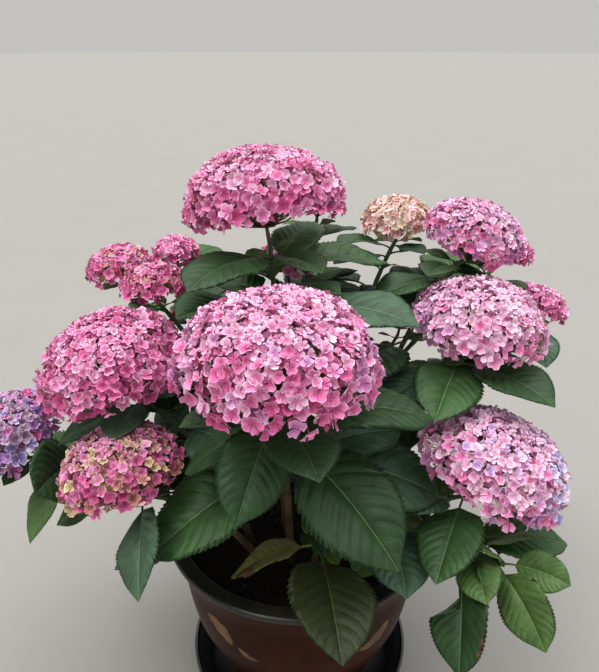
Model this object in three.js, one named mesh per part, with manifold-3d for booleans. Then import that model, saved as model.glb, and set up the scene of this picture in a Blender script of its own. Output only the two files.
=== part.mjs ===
import * as THREE from "three";
import Module from "manifold-3d";

// Mophead hydrangea in a glazed pot on a saucer. Millimetres, +Z up, +Y away from the viewer.
// The origin is the middle of the saucer's flat underside.

// Clearance between pieces that meet
const GAP = 0.3;

// Pot: its outside from the foot to below the rim is a list of [radius, height]
const ROUND_SIDES = 28;
const POT_BODY = [[131, 3], [148, 50], [180, 130], [195, 172], [204, 225], [211, 290], [222, 326]];
const POT_RIM_RADIUS = 232;
const POT_RIM_HEIGHT = 350;
const POT_RIM_WIDTH = 25;
const POT_RIM_BEVEL = 3;
const POT_RIM_EDGE = 6;
const POT_WALL = 14;
const POT_FLOOR = 18;

// Saucer: its outside and its hollow as lists of [radius, height], with a band round the edge
const SAUCER_OUTSIDE = [[168, 0], [176, 3], [199, 34], [206, 36], [206, 42]];
const SAUCER_HOLLOW = [[167, 3], [173, 5], [195, 35], [201, 42], [201, 48]];

// Soil
const SOIL_TOP = 290;

// Canes rise from the soil; each shoot goes on from its cane, or forks from the cane's own shoot
const CANE_SIDES = 5;
const CANE_FOOT_RADIUS = 7.5;
const CANE_TOP_RADIUS = 5.6;
const CANE_LEAN = 0.38;
const CANE_CLIMB = 0.78;
const SPLIT = 0.34;
const FORK = 0.5;
const FORK_STEP = 0.08;
const FORK_LEAN = 0.45;
const FORK_CLIMB = 0.62;
const FORK_THINNER = 0.8;
const SHOOT_SIDES = 4;
const SHOOT_RADIUS = 4.8;
const SHOOT_TIP_RADIUS = 3.4;
const LIMB_STEPS = 4;
const PATH_STEPS = 60;
const LEAFLESS_SHARE = 0.02;

// Flower heads: a dome wider than high on a short stalk, with florets standing out of it
const DOME_RISE = 0.7;
const DOME_DROP = 0.38;
const STALK_SHARE = 0.5;
const STALK_INSIDE = 0.1;
const STALK_SWELL = 1;
const STALK_SIDES = 4;
const FLORET_VALLEY = 0.865;
const FLORET_PEAK = [0.96, 0.04];
const CELL_SPREAD = 0.86;
const LARGE_HEAD = 95;
const MEDIUM_HEAD = 59;
const HEAD_CELLS = [2, 3, 4];
const HEAD_SEED = 301;

// Leaves: widths, heights and the petiole are shares of the whole length, angles are in degrees
const LEAF_WIDTH = 0.58;
const LEAF_THICKNESS = 0.017;
const LEAF_ARCH = 0.13;
const LEAF_FOLD = 0.16;
const LEAF_STATIONS = [[0.2, 0.8], [0.5, 1], [0.8, 0.72]];
const PETIOLE_SHARE = 0.2;
const PETIOLE_RISE = 16;
const PETIOLE_BASE_RADIUS = 1.4;
const PETIOLE_RADIUS_SHARE = 0.0046;
const PETIOLE_TAPER = 0.8;
const LEAF_SIDES = 4;
const SLIVER = 0.7;

// Leaves in opposite pairs down a shoot, every pair a quarter turn from the last
const PAIR_FIRST = 36;
const PAIR_STEP = 64;
const PAIR_LAST = 200;
const PAIR_RISE = [14, -8];
const PAIR_AGE = [0.74, 0.16];
const PAIR_LENGTH = [165, 45];
const YOUNG_LENGTH = 130;
const JITTER = { down: 10, azimuth: 30, rise: 16, roll: 24 };
const LEAF_SEED = 4801;
const LEAF_SEED_STEP = 977;

// How far a leaf keeps from what it might touch, and how low it may hang
const LEAF_CLEARANCE = 0.9;
const CLEARANCE_START = 0.35;
const LEAF_LOWEST = 322;

// Flower heads: middle x, y, z, radius, lean toward +x and +y
const HEADS = {
  centre: [-27, -205, 755, 128, 0, -0.02],
  left: [-269, -70, 678, 106, -0.22, -0.17],
  left_low: [-251, -150, 556, 88, -0.2, 0],
  far_left: [-446, -60, 547, 90, -0.45, -0.06],
  top: [-55, 50, 884, 120, -0.18, 0.15],
  right_up: [281, 122, 811, 84, 0.25, -0.1],
  right_back: [382, 235, 748, 46, 0.5, 0.2],
  peach: [173, 225, 808, 62, -0.1, -0.1],
  right: [273, 10, 704, 105, 0.1, -0.05],
  right_side: [413, 140, 683, 50, 0.4, 0.1],
  right_low: [285, -110, 531, 117, 0.35, 0],
  small_left: [-328, 215, 725, 58, -0.2, -0.05],
  small_mid: [-237, 95, 735, 55, -0.05, 0.02],
  small_back: [-235, 275, 734, 43, -0.05, -0.1],
  inner: [-20, 170, 751, 54, 0, 0],
  back: [34, 270, 821, 51, 0.1, 0.15],
  back_left: [-190, 300, 600, 70, -0.2, 0.3],
  back_mid: [10, 355, 590, 76, 0, 0.4],
  back_right: [215, 330, 570, 70, 0.25, 0.35],
  low_left: [-335, 225, 555, 60, -0.5, 0.2],
  low_right: [335, 250, 535, 64, 0.5, 0.25],
};

// Tips of shoots that carry leaves only
const LEAFY_TIPS = { young_right: [297, -190, 415], young_front: [34, -150, 415] };

// Canes: foot x, y and the shoots, of which the first is the cane's own and the rest fork from it
const CANES = {
  centre: [-15, -62, ["centre"]],
  left: [-85, -15, ["left"]],
  left_low: [-62, -70, ["left_low"]],
  far_left: [-108, 20, ["far_left"]],
  top: [-25, 10, ["top"]],
  right_up: [70, 40, ["right_up", "right_back"]],
  peach: [38, 70, ["peach"]],
  right: [78, 0, ["right", "right_side"]],
  right_low: [60, -60, ["right_low", "young_right"]],
  small: [-75, 60, ["small_mid", "small_left", "small_back"]],
  inner: [0, 60, ["inner", "back"]],
  back_left: [-60, 105, ["back_left", "low_left"]],
  back_mid: [5, 118, ["back_mid"]],
  back_right: [72, 100, ["back_right", "low_right"]],
  low_front: [22, -94, ["young_front"]],
};

// Leaves placed one by one: distance down the shoot, azimuth, rise, length and, if any, roll
const PLACED = {
  centre: [
    [20, 248, -32, 148, -25],
    [40, 288, 5, 150],
    [100, 315, -25, 225, 10],
    [157, 359, -16, 239, 11],
    [175, 209, -20, 227, -3],
    [50, 182, -32, 155],
    [40, 7, -5, 205],
  ],
  left_low: [[20, 278, -19, 155, 48], [60, 100, 0, 150]],
  far_left: [[90, 265, 23, 168, -60], [100, 150, -35, 220, -54], [64, 250, -33, 134, 26]],
  left: [[28, 262, 2, 110], [40, 309, 33, 100]],
  top: [
    [25, 237, 3, 185],
    [25, 308, 6, 120],
    [40, 23, -6, 205],
    [90, 321, 19, 130],
    [110, 329, 8, 235],
    [120, 229, 14, 200],
    [90, 140, -4, 150],
  ],
  right: [[15, 245, -5, 168, -8], [25, 309, 1, 170], [60, 3, 6, 165], [80, 84, -25, 150]],
  right_side: [[25, 274, -10, 120]],
  right_low: [[15, 244, -11, 160, 16], [150, 272, 3, 165]],
  young_right: [
    [75, 357, 2, 165],
    [66, 259, -29, 178, 46],
    [58, 277, -3, 111, 28],
    [3, 330, 4, 94, 44],
    [18, 293, -19, 132, 60],
    [48, 338, 14, 120, -30],
    [8, 215, 28, 90],
  ],
  young_front: [[36, 277, 1, 205, -11], [3, 183, -24, 153, 20]],
  peach: [[25, 205, 12, 115], [20, 305, 5, 80]],
  right_up: [[20, 234, 10, 110]],
  small_mid: [[30, 230, 26, 90]],
};

// Numbers of the paired leaves that have dropped from a shoot
const DROPPED = {
  centre: [3, 4],
  left_low: [3],
  right: [3],
  small_left: [1],
  small_back: [1],
  young_front: [1],
};

// Changes of azimuth and rise, and of length, tried in turn when a leaf would touch something
const PLACED_TRIES = [
  [0, 0, 1], [0, 5, 1], [0, -5, 1], [6, 0, 1], [-6, 0, 1], [8, 8, 1],
  [-8, 8, 1], [0, 12, 1], [12, -6, 1], [-12, -6, 1], [0, 0, 0.88], [0, 18, 0.9],
];
const SEEDED_TRIES = [
  [0, 0, 1], [18, 0, 1], [-18, 0, 1], [0, 14, 1], [0, -16, 1], [32, 6, 0.92],
  [-32, 6, 0.92], [0, -28, 0.9], [14, 22, 0.85], [-14, -12, 0.8],
];

const FINISHES = {
  saucer: { color: 0x16181a, roughness: 0.35 },
  pot: { color: 0x5a2d20, roughness: 0.3 },
  soil: { color: 0x2e221b, roughness: 0.95 },
  cane: { color: 0x6b5a3c, roughness: 0.8 },
  head: { color: 0xd98fb4, roughness: 0.7 },
  leaves: { color: 0x3f6b3c, roughness: 0.6 },
};

const wasm = await Module();
wasm.setup();

const UP = new THREE.Vector3(0, 0, 1);
const plant = new THREE.Group();

// Solids that are in place, with their bounds, which leaves must not touch
const inPlace = [];

// Park and Miller's generator of random shares
function seeded(seed) {
  let state = seed;
  return () => {
    state = state * 16807 % 2147483647;
    return state / 2147483647;
  };
}

function solidOf(geometry) {
  const mesh = new wasm.Mesh({
    numProp: 3,
    vertProperties: geometry.getAttribute("position").array,
    triVerts: new Uint32Array(geometry.index.array),
  });
  mesh.merge();
  return new wasm.Manifold(mesh);
}

function settle(solid) {
  inPlace.push({ solid, bounds: solid.boundingBox() });
}

function show(name, solid) {
  const { vertProperties, triVerts } = solid.getMesh();
  const shared = new THREE.BufferGeometry();
  shared.setAttribute("position", new THREE.BufferAttribute(vertProperties, 3));
  shared.setIndex(new THREE.BufferAttribute(triVerts, 1));
  const geometry = shared.toNonIndexed();
  geometry.computeVertexNormals();
  const material = new THREE.MeshStandardMaterial(FINISHES[name.split("_")[0]]);
  const mesh = new THREE.Mesh(geometry, material);
  mesh.name = name;
  plant.add(mesh);
}

// A solid turned about +Z from [radius, height] pairs that run up its side
function turned(profile) {
  const outline = profile.map(([r, z]) => new THREE.Vector2(r, z));
  outline.unshift(new THREE.Vector2(0, outline[0].y));
  outline.push(new THREE.Vector2(0, outline[outline.length - 1].y));
  return solidOf(new THREE.LatheGeometry(outline, ROUND_SIDES).rotateX(Math.PI / 2));
}

// Outline across a limb or leaf: half its width and height, and the lift of its two side edges
function ring(middle, along, side, width, height, fold = 0) {
  const rise = new THREE.Vector3().crossVectors(side, along).normalize();
  return {
    middle,
    across: side.clone().multiplyScalar(width),
    rise: rise.clone().multiplyScalar(height),
    lift: rise.multiplyScalar(-width * fold),
  };
}

// A cylinder drawn through rings, from the first to the last
function drawn(rings, sides) {
  const steps = rings.length - 1;
  const geometry = new THREE.CylinderGeometry(1, 1, steps, sides, steps);
  const corners = geometry.getAttribute("position");
  for (let i = 0; i < corners.count; i += 1) {
    const x = corners.getX(i);
    const { middle, across, rise, lift } = rings[Math.round(corners.getY(i) + steps / 2)];
    const p = middle.clone()
      .addScaledVector(across, x)
      .addScaledVector(rise, corners.getZ(i))
      .addScaledVector(lift, Math.abs(x));
    corners.setXYZ(i, p.x, p.y, p.z);
  }
  return solidOf(geometry);
}

// A round ring with a level side, across a way that isn't upright
function roundRing(middle, along, radius) {
  const side = new THREE.Vector3().crossVectors(along, UP).normalize();
  return ring(middle, along, side, radius, radius);
}

// Rings of a limb that tapers along part of a curve
function limbRings(curve, from, to, radiusFrom, radiusTo) {
  return Array.from({ length: LIMB_STEPS + 1 }, (_, i) => {
    const share = i / LIMB_STEPS;
    const t = from + (to - from) * share;
    const radius = radiusFrom + (radiusTo - radiusFrom) * share;
    return roundRing(curve.getPoint(t), curve.getTangent(t), radius);
  });
}

function headAxis(name) {
  const [, , , , leanX, leanY] = HEADS[name];
  return new THREE.Vector3(leanX, leanY, 1).normalize();
}

function shootEnd(name) {
  if (LEAFY_TIPS[name]) {
    return new THREE.Vector3(...LEAFY_TIPS[name]);
  }
  const [x, y, z, radius] = HEADS[name];
  return new THREE.Vector3(x, y, z).addScaledVector(headAxis(name), -radius * STALK_SHARE);
}

// A curve that leans by one share and climbs by another of the way before it bends to its end
function bent(start, end, lean, climb) {
  const bend = new THREE.Vector3(
    start.x + lean * (end.x - start.x),
    start.y + lean * (end.y - start.y),
    start.z + climb * (end.z - start.z),
  );
  return new THREE.QuadraticBezierCurve3(start, bend, end);
}

// Curve of a shoot, from the soil for a cane's own shoot and from its fork for another
function shootCurve(cane, index) {
  const [x, y, names] = CANES[cane];
  const own = bent(new THREE.Vector3(x, y, SOIL_TOP), shootEnd(names[0]), CANE_LEAN, CANE_CLIMB);
  if (index === 0) {
    return own;
  }
  const fork = own.getPoint(FORK + FORK_STEP * (index - 1));
  return bent(fork, shootEnd(names[index]), FORK_LEAN, FORK_CLIMB);
}

// The place a given distance down a shoot from its end, or null below where its leaves may start
function placeDown({ curve, from }, down) {
  let left = down;
  let here = curve.getPoint(1);
  for (let i = PATH_STEPS - 1; i / PATH_STEPS > from + LEAFLESS_SHARE; i -= 1) {
    const next = curve.getPoint(i / PATH_STEPS);
    const step = next.distanceTo(here);
    if (left <= step) {
      return here.lerp(next, left / step);
    }
    left -= step;
    here = next;
  }
  return null;
}

// Dome of a flower head: each square of a cube is drawn out to the dome and raised to a floret
function bloomDome(radius, random) {
  const [least, fewer, most] = HEAD_CELLS;
  const cells = radius > LARGE_HEAD ? most : radius > MEDIUM_HEAD ? fewer : least;
  const cube = new THREE.BoxGeometry(2, 2, 2, cells, cells, cells);
  const corners = cube.getAttribute("position");
  const onDome = (p, share) => {
    p.set(...p.toArray().map((v) => Math.tan(v * CELL_SPREAD))).normalize();
    p.z *= p.z > 0 ? DOME_RISE : DOME_DROP;
    return p.multiplyScalar(radius * share);
  };
  const onCube = (i) => new THREE.Vector3().fromBufferAttribute(corners, i);
  const points = Array.from({ length: corners.count }, (_, i) => onDome(onCube(i), FLORET_VALLEY));
  const faces = [];
  for (let i = 0; i < cube.index.count; i += 6) {
    const [a, b, d, , c] = cube.index.array.slice(i, i + 6);
    const loop = [a, b, c, d];
    const middle = onCube(a).lerp(onCube(c), 0.5);
    if (middle.z > -1) {
      const [low, more] = FLORET_PEAK;
      const peak = points.push(onDome(middle, low + more * random())) - 1;
      loop.forEach((p, k) => faces.push(p, loop[(k + 1) % 4], peak));
    } else {
      faces.push(a, b, d, b, c, d);
    }
  }
  return new THREE.BufferGeometry().setFromPoints(points).setIndex(faces);
}

// Flower head on its stalk, leaning as its row says
function flowerHead(name, curve, random) {
  const [x, y, z, radius] = HEADS[name];
  const axis = headAxis(name);
  const middle = new THREE.Vector3(x, y, z);
  const dome = bloomDome(radius, random)
    .rotateZ(2 * Math.PI * random())
    .applyQuaternion(new THREE.Quaternion().setFromUnitVectors(UP, axis))
    .translate(x, y, z);
  const foot = roundRing(shootEnd(name), curve.getTangent(1), SHOOT_TIP_RADIUS + STALK_SWELL);
  const side = foot.across.clone().normalize();
  const inside = middle.addScaledVector(axis, radius * STALK_INSIDE);
  const top = ring(inside, axis, side, SHOOT_TIP_RADIUS, SHOOT_TIP_RADIUS);
  return drawn([foot, top], STALK_SIDES).add(solidOf(dome));
}

function direction(azimuth, rise) {
  const a = THREE.MathUtils.degToRad(azimuth);
  const r = THREE.MathUtils.degToRad(rise);
  return new THREE.Vector3(Math.cos(r) * Math.cos(a), Math.cos(r) * Math.sin(a), Math.sin(r));
}

// Leaf from its root on the shoot: a petiole that rises, then an arched blade folded on its
// midrib. With a clearance it is that much larger all round and starts off its shoot.
function leaf(root, { azimuth, rise, length, roll }, clearance = 0) {
  const neck = root.clone()
    .addScaledVector(direction(azimuth, rise + PETIOLE_RISE), length * PETIOLE_SHARE);
  const tip = root.clone().addScaledVector(direction(azimuth, rise), length + clearance);
  const crest = neck.clone().lerp(tip, 0.5).addScaledVector(UP, length * LEAF_ARCH);
  const blade = new THREE.QuadraticBezierCurve3(neck, crest, tip);
  const level = direction(azimuth + 90, 0);
  const lie = neck.clone().sub(root).normalize();
  const start = root.clone().lerp(neck, clearance > 0 ? CLEARANCE_START : 0);
  const thin = PETIOLE_BASE_RADIUS + PETIOLE_RADIUS_SHARE * length + clearance;
  const halfWidth = 0.5 * LEAF_WIDTH * length + clearance;
  const halfThick = 0.5 * LEAF_THICKNESS * length + clearance;
  const stations = LEAF_STATIONS.map(([t, share]) => {
    const along = blade.getTangent(t);
    const side = level.clone().applyAxisAngle(along, THREE.MathUtils.degToRad(roll));
    return ring(blade.getPoint(t), along, side, halfWidth * share, halfThick, LEAF_FOLD);
  });
  return drawn([
    ring(start, lie, level, thin, thin),
    ring(neck, lie, level, thin * PETIOLE_TAPER, thin * PETIOLE_TAPER),
    ...stations,
    ring(tip, lie, level, 0, 0),
  ], LEAF_SIDES);
}

function touchesAnything(solid) {
  const { min, max } = solid.boundingBox();
  return inPlace.some(({ solid: other, bounds }) => (
    [0, 1, 2].every((i) => max[i] >= bounds.min[i] && bounds.max[i] >= min[i])
    && !solid.intersect(other).isEmpty()
  ));
}

// Inside the pot the outline follows its outside at the wall's thickness, and the soil fills it
const potOutside = [
  ...POT_BODY.map(([r, z]) => [r, z + GAP]),
  [POT_RIM_RADIUS - POT_RIM_BEVEL, POT_RIM_HEIGHT - 2 * POT_RIM_EDGE],
  [POT_RIM_RADIUS, POT_RIM_HEIGHT - POT_RIM_EDGE],
  [POT_RIM_RADIUS - POT_RIM_BEVEL, POT_RIM_HEIGHT],
];
const potHollow = [
  [POT_BODY[0][0] - POT_WALL, POT_FLOOR],
  ...POT_BODY.slice(1).map(([r, z]) => [r - POT_WALL, z + GAP]),
  [POT_RIM_RADIUS - POT_RIM_WIDTH, POT_RIM_HEIGHT],
  [POT_RIM_RADIUS - POT_RIM_WIDTH, POT_RIM_HEIGHT + POT_RIM_EDGE],
];
const filled = potHollow.filter(([, z]) => z < SOIL_TOP);
const [[lowRadius, lowZ], [highRadius, highZ]] = potHollow.slice(filled.length - 1);
const brimShare = (SOIL_TOP - lowZ) / (highZ - lowZ);
const soilOutside = [...filled, [lowRadius + (highRadius - lowRadius) * brimShare, SOIL_TOP]]
  .map(([r, z]) => [r - GAP, Math.max(z, POT_FLOOR + GAP)]);

const vessels = {
  saucer: turned(SAUCER_OUTSIDE).subtract(turned(SAUCER_HOLLOW)),
  pot: turned(potOutside).subtract(turned(potHollow)),
  soil: turned(soilOutside),
};
for (const [name, solid] of Object.entries(vessels)) {
  show(name, solid);
  settle(solid);
}

// Canes, shoots and flower heads come before the leaves, which give way to them
const shoots = [];
const masses = {};
const headRandom = seeded(HEAD_SEED);
for (const [cane, [, , names]] of Object.entries(CANES)) {
  const foot = limbRings(shootCurve(cane, 0), 0, SPLIT, CANE_FOOT_RADIUS, CANE_TOP_RADIUS);
  const base = foot[0].middle.addScaledVector(UP, GAP);
  foot[0] = ring(base, UP, foot[0].across.normalize(), CANE_FOOT_RADIUS, CANE_FOOT_RADIUS);
  const bough = drawn(foot, CANE_SIDES);
  show(`cane_${cane}`, bough);
  settle(bough);
  masses[cane] = names.map((name, index) => {
    const curve = shootCurve(cane, index);
    const from = index === 0 ? SPLIT : 0;
    const radius = index === 0 ? SHOOT_RADIUS : SHOOT_RADIUS - FORK_THINNER;
    const rings = limbRings(curve, from, 1, radius, SHOOT_TIP_RADIUS);
    if (index === 0) {
      rings[0].middle.addScaledVector(curve.getTangent(from), GAP);
    }
    rings[LIMB_STEPS].middle.addScaledVector(curve.getTangent(1), -GAP);
    const stem = drawn(rings, SHOOT_SIDES);
    settle(stem);
    shoots.push({ cane, name, curve, from });
    return stem;
  });
  for (const name of names.filter((each) => HEADS[each])) {
    const head = flowerHead(name, shootCurve(cane, names.indexOf(name)), headRandom);
    show(`head_${name}`, head);
    settle(head);
  }
}

// Grows a leaf in the first of its tries that touches nothing, or leaves it out
function grow(shoot, row, tries) {
  const root = placeDown(shoot, row.down);
  if (!root) {
    return;
  }
  for (const [turn, lift, scale] of tries) {
    const tried = {
      azimuth: row.azimuth + turn,
      rise: row.rise + lift,
      length: row.length * scale,
      roll: row.roll,
    };
    const room = leaf(root, tried, LEAF_CLEARANCE);
    if (room.boundingBox().min[2] > LEAF_LOWEST && !touchesAnything(room)) {
      const grown = leaf(root, tried);
      masses[shoot.cane].push(grown);
      settle(grown);
      return;
    }
  }
}

function pairedRows(name, random) {
  const heading = 360 * random();
  const rows = [];
  for (let k = 0; PAIR_FIRST + PAIR_STEP * k <= PAIR_LAST; k += 1) {
    for (let side = 0; side < 2; side += 1) {
      const [place, turn, lift, size] = [random(), random(), random(), random()];
      const grown = LEAFY_TIPS[name] ? YOUNG_LENGTH : PAIR_LENGTH[0] + PAIR_LENGTH[1] * size;
      rows.push({
        down: PAIR_FIRST + PAIR_STEP * k + JITTER.down * place,
        azimuth: heading + 90 * k + 180 * side + JITTER.azimuth * (turn - 0.5),
        rise: PAIR_RISE[0] + PAIR_RISE[1] * k + JITTER.rise * (lift - 0.5),
        length: grown * Math.min(1, PAIR_AGE[0] + PAIR_AGE[1] * k),
        roll: JITTER.roll * (turn - 0.5),
      });
    }
  }
  return rows;
}

for (const shoot of shoots) {
  for (const [down, azimuth, rise, length, roll = 0] of PLACED[shoot.name] ?? []) {
    grow(shoot, { down, azimuth, rise, length, roll }, PLACED_TRIES);
  }
}
shoots.forEach((shoot, index) => {
  const rows = pairedRows(shoot.name, seeded(LEAF_SEED + LEAF_SEED_STEP * index));
  const dropped = DROPPED[shoot.name] ?? [];
  for (const row of rows.filter((_, number) => !dropped.includes(number))) {
    grow(shoot, row, SEEDED_TRIES);
  }
});

for (const [cane, solids] of Object.entries(masses)) {
  show(`leaves_${cane}`, wasm.Manifold.union(solids).simplify(SLIVER));
}

export default plant;
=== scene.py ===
# Looks of a potted mophead hydrangea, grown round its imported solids.
# The plant's own rule is worked out in millimetres, as its solids are, and meshes are in metres.

import math

import bmesh
import bpy
import numpy as np
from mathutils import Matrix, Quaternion, Vector
from mathutils.kdtree import KDTree


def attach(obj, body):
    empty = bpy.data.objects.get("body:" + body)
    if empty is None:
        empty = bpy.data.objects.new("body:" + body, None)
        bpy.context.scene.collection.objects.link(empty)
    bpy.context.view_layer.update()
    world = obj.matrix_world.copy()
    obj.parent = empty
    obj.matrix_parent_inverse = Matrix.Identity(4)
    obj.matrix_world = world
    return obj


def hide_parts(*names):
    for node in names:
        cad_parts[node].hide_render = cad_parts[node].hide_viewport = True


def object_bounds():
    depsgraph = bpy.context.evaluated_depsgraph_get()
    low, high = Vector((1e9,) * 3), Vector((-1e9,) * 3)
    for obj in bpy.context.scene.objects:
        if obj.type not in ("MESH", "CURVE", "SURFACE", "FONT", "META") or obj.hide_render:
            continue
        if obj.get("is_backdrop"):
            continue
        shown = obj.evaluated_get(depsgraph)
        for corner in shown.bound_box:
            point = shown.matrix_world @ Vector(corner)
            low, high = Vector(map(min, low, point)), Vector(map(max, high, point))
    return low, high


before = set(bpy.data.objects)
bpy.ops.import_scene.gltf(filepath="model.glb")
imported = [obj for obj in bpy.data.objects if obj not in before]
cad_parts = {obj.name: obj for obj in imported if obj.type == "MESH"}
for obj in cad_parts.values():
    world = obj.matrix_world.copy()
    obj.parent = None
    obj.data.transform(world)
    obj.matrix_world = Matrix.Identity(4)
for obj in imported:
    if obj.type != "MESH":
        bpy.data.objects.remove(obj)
cad_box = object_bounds()

MM = 0.001
UP = np.array([0.0, 0.0, 1.0])
PHOTO_WIDTH, PHOTO_HEIGHT = 599, 672
MERGE_DISTANCE = 0.02
ROUND_SIDES = 128

# Draws: their seeds, the whole turn that angles are drawn from, and the turn between florets
SEEDS = {"soil": 7717, "canes": 911, "foliage": 5501, "heads": 30011}
TURN = 6.28
GOLDEN_TURN = 2.39996

# Materials: depth of a bump in metres, strength of the net of small veins, ends of colour ramps
BUMP_DEPTH = 0.001
NET_BUMP = 0.45
RAMP_ENDS = (0.35, 0.65)

# Camera: height above the floor, distance in front of the pot's middle, pitch and focal length
CAMERA_HEIGHT = 1.100
CAMERA_DISTANCE = 0.838
CAMERA_PITCH = 26
FOCAL_PIXELS = 610
SENSOR = 36
FLOOR_RADIUS = 60

# Pot and saucer, with the pot's body as [radius, height] up its side
POT_BODY = [[131, 3], [148, 50], [180, 130], [195, 172], [204, 225], [211, 290], [222, 326]]
POT_RIM_RADIUS = 232
POT_RIM_HEIGHT = 350
POT_RIM_WIDTH = 25
POT_WALL = 14
POT_FLOOR = 18
POT_WOBBLE = 0.0015
POT_RIM_BAND = 16
SAUCER_RADIUS = 206
SAUCER_HEIGHT = 42
SAUCER_FOOT = 168
SOIL_TOP = 290
GAP = 0.3

# Canes and shoots
CANE_FOOT_RADIUS = 7.5
CANE_TOP_RADIUS = 5.6
CANE_LEAN = 0.38
CANE_CLIMB = 0.78
CANE_STEPS = 44
CANE_SIDES = 18
BARK_RIDGE = 0.06
BARK_FLAKE = 0.05
SPLIT = 0.34
FORK = 0.5
FORK_STEP = 0.08
FORK_LEAN = 0.45
FORK_CLIMB = 0.62
SHOOT_RADIUS = 4.8
SHOOT_TIP_RADIUS = 3.4
FORK_THINNER = 0.8
SHOOT_STEPS = 26
SHOOT_SIDES = 9
WOODY_STEPS = 10
PATH_STEPS = 60
LEAFLESS_SHARE = 0.02

# Knots where pairs of leaves grow: swell, length and shift down the shoot
KNOT_SWELL = 0.22
KNOT_LENGTH = 7
KNOT_SHIFT = 5

# Flower heads
DOME_RISE = 0.7
DOME_DROP = 0.38
STALK_SHARE = 0.5

# Leaves
LEAF_WIDTH = 0.58
LEAF_ARCH = 0.13
BLADE_FOLD = 0.2
PETIOLE_SHARE = 0.2
PETIOLE_RISE = 16
PETIOLE_BASE_RADIUS = 1.4
PETIOLE_RADIUS_SHARE = 0.0046
PETIOLE_RADII = [1.25, 0.95, 0.85, 0.8, 0.8, 0.5]
PETIOLE_BEND = 0.1
PETIOLE_JOINT = 0.06
PAIR_FIRST = 36
PAIR_STEP = 64
PAIR_LAST = 200
PAIR_RISE = [14, -8]
PAIR_AGE = [0.74, 0.16]
PAIR_LENGTH = [165, 45]
YOUNG_LENGTH = 130
JITTER = {"down": 10, "azimuth": 30, "rise": 16, "roll": 24}
LEAF_SEED = 4801
LEAF_SEED_STEP = 977
TIP_MATCH = 1.5

# Flower heads: middle x, y, z, radius, lean toward +x and +y
HEADS = {
    "centre": [-27, -205, 755, 128, 0, -0.02],
    "left": [-269, -70, 678, 106, -0.22, -0.17],
    "left_low": [-251, -150, 556, 88, -0.2, 0],
    "far_left": [-446, -60, 547, 90, -0.45, -0.06],
    "top": [-55, 50, 884, 120, -0.18, 0.15],
    "right_up": [281, 122, 811, 84, 0.25, -0.1],
    "right_back": [382, 235, 748, 46, 0.5, 0.2],
    "peach": [173, 225, 808, 62, -0.1, -0.1],
    "right": [273, 10, 704, 105, 0.1, -0.05],
    "right_side": [413, 140, 683, 50, 0.4, 0.1],
    "right_low": [285, -110, 531, 117, 0.35, 0],
    "small_left": [-328, 215, 725, 58, -0.2, -0.05],
    "small_mid": [-237, 95, 735, 55, -0.05, 0.02],
    "small_back": [-235, 275, 734, 43, -0.05, -0.1],
    "inner": [-20, 170, 751, 54, 0, 0],
    "back": [34, 270, 821, 51, 0.1, 0.15],
    "back_left": [-190, 300, 600, 70, -0.2, 0.3],
    "back_mid": [10, 355, 590, 76, 0, 0.4],
    "back_right": [215, 330, 570, 70, 0.25, 0.35],
    "low_left": [-335, 225, 555, 60, -0.5, 0.2],
    "low_right": [335, 250, 535, 64, 0.5, 0.25],
}

# Tips of shoots that carry leaves only
LEAFY_TIPS = {"young_right": [297, -190, 415], "young_front": [34, -150, 415]}

# Canes: foot x, y and the shoots, of which the first is the cane's own and the rest fork from it
CANES = {
    "centre": [-15, -62, ["centre"]],
    "left": [-85, -15, ["left"]],
    "left_low": [-62, -70, ["left_low"]],
    "far_left": [-108, 20, ["far_left"]],
    "top": [-25, 10, ["top"]],
    "right_up": [70, 40, ["right_up", "right_back"]],
    "peach": [38, 70, ["peach"]],
    "right": [78, 0, ["right", "right_side"]],
    "right_low": [60, -60, ["right_low", "young_right"]],
    "small": [-75, 60, ["small_mid", "small_left", "small_back"]],
    "inner": [0, 60, ["inner", "back"]],
    "back_left": [-60, 105, ["back_left", "low_left"]],
    "back_mid": [5, 118, ["back_mid"]],
    "back_right": [72, 100, ["back_right", "low_right"]],
    "low_front": [22, -94, ["young_front"]],
}

# Leaves placed one by one: distance down the shoot, azimuth, rise, length and, if any, roll
PLACED = {
    "centre": [
        [20, 248, -32, 148, -25],
        [40, 288, 5, 150],
        [100, 315, -25, 225, 10],
        [157, 359, -16, 239, 11],
        [175, 209, -20, 227, -3],
        [50, 182, -32, 155],
        [40, 7, -5, 205],
    ],
    "left_low": [[20, 278, -19, 155, 48], [60, 100, 0, 150]],
    "far_left": [[90, 265, 23, 168, -60], [100, 150, -35, 220, -54], [64, 250, -33, 134, 26]],
    "left": [[28, 262, 2, 110], [40, 309, 33, 100]],
    "top": [
        [25, 237, 3, 185],
        [25, 308, 6, 120],
        [40, 23, -6, 205],
        [90, 321, 19, 130],
        [110, 329, 8, 235],
        [120, 229, 14, 200],
        [90, 140, -4, 150],
    ],
    "right": [[15, 245, -5, 168, -8], [25, 309, 1, 170], [60, 3, 6, 165], [80, 84, -25, 150]],
    "right_side": [[25, 274, -10, 120]],
    "right_low": [[15, 244, -11, 160, 16], [150, 272, 3, 165]],
    "young_right": [
        [75, 357, 2, 165],
        [66, 259, -29, 178, 46],
        [58, 277, -3, 111, 28],
        [3, 330, 4, 94, 44],
        [18, 293, -19, 132, 60],
        [48, 338, 14, 120, -30],
        [8, 215, 28, 90],
    ],
    "young_front": [[36, 277, 1, 205, -11], [3, 183, -24, 153, 20]],
    "peach": [[25, 205, 12, 115], [20, 305, 5, 80]],
    "right_up": [[20, 234, 10, 110]],
    "small_mid": [[30, 230, 26, 90]],
}
PLACED_TRIES = [
    [0, 0, 1], [0, 5, 1], [0, -5, 1], [6, 0, 1], [-6, 0, 1], [8, 8, 1],
    [-8, 8, 1], [0, 12, 1], [12, -6, 1], [-12, -6, 1], [0, 0, 0.88], [0, 18, 0.9],
]
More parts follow.
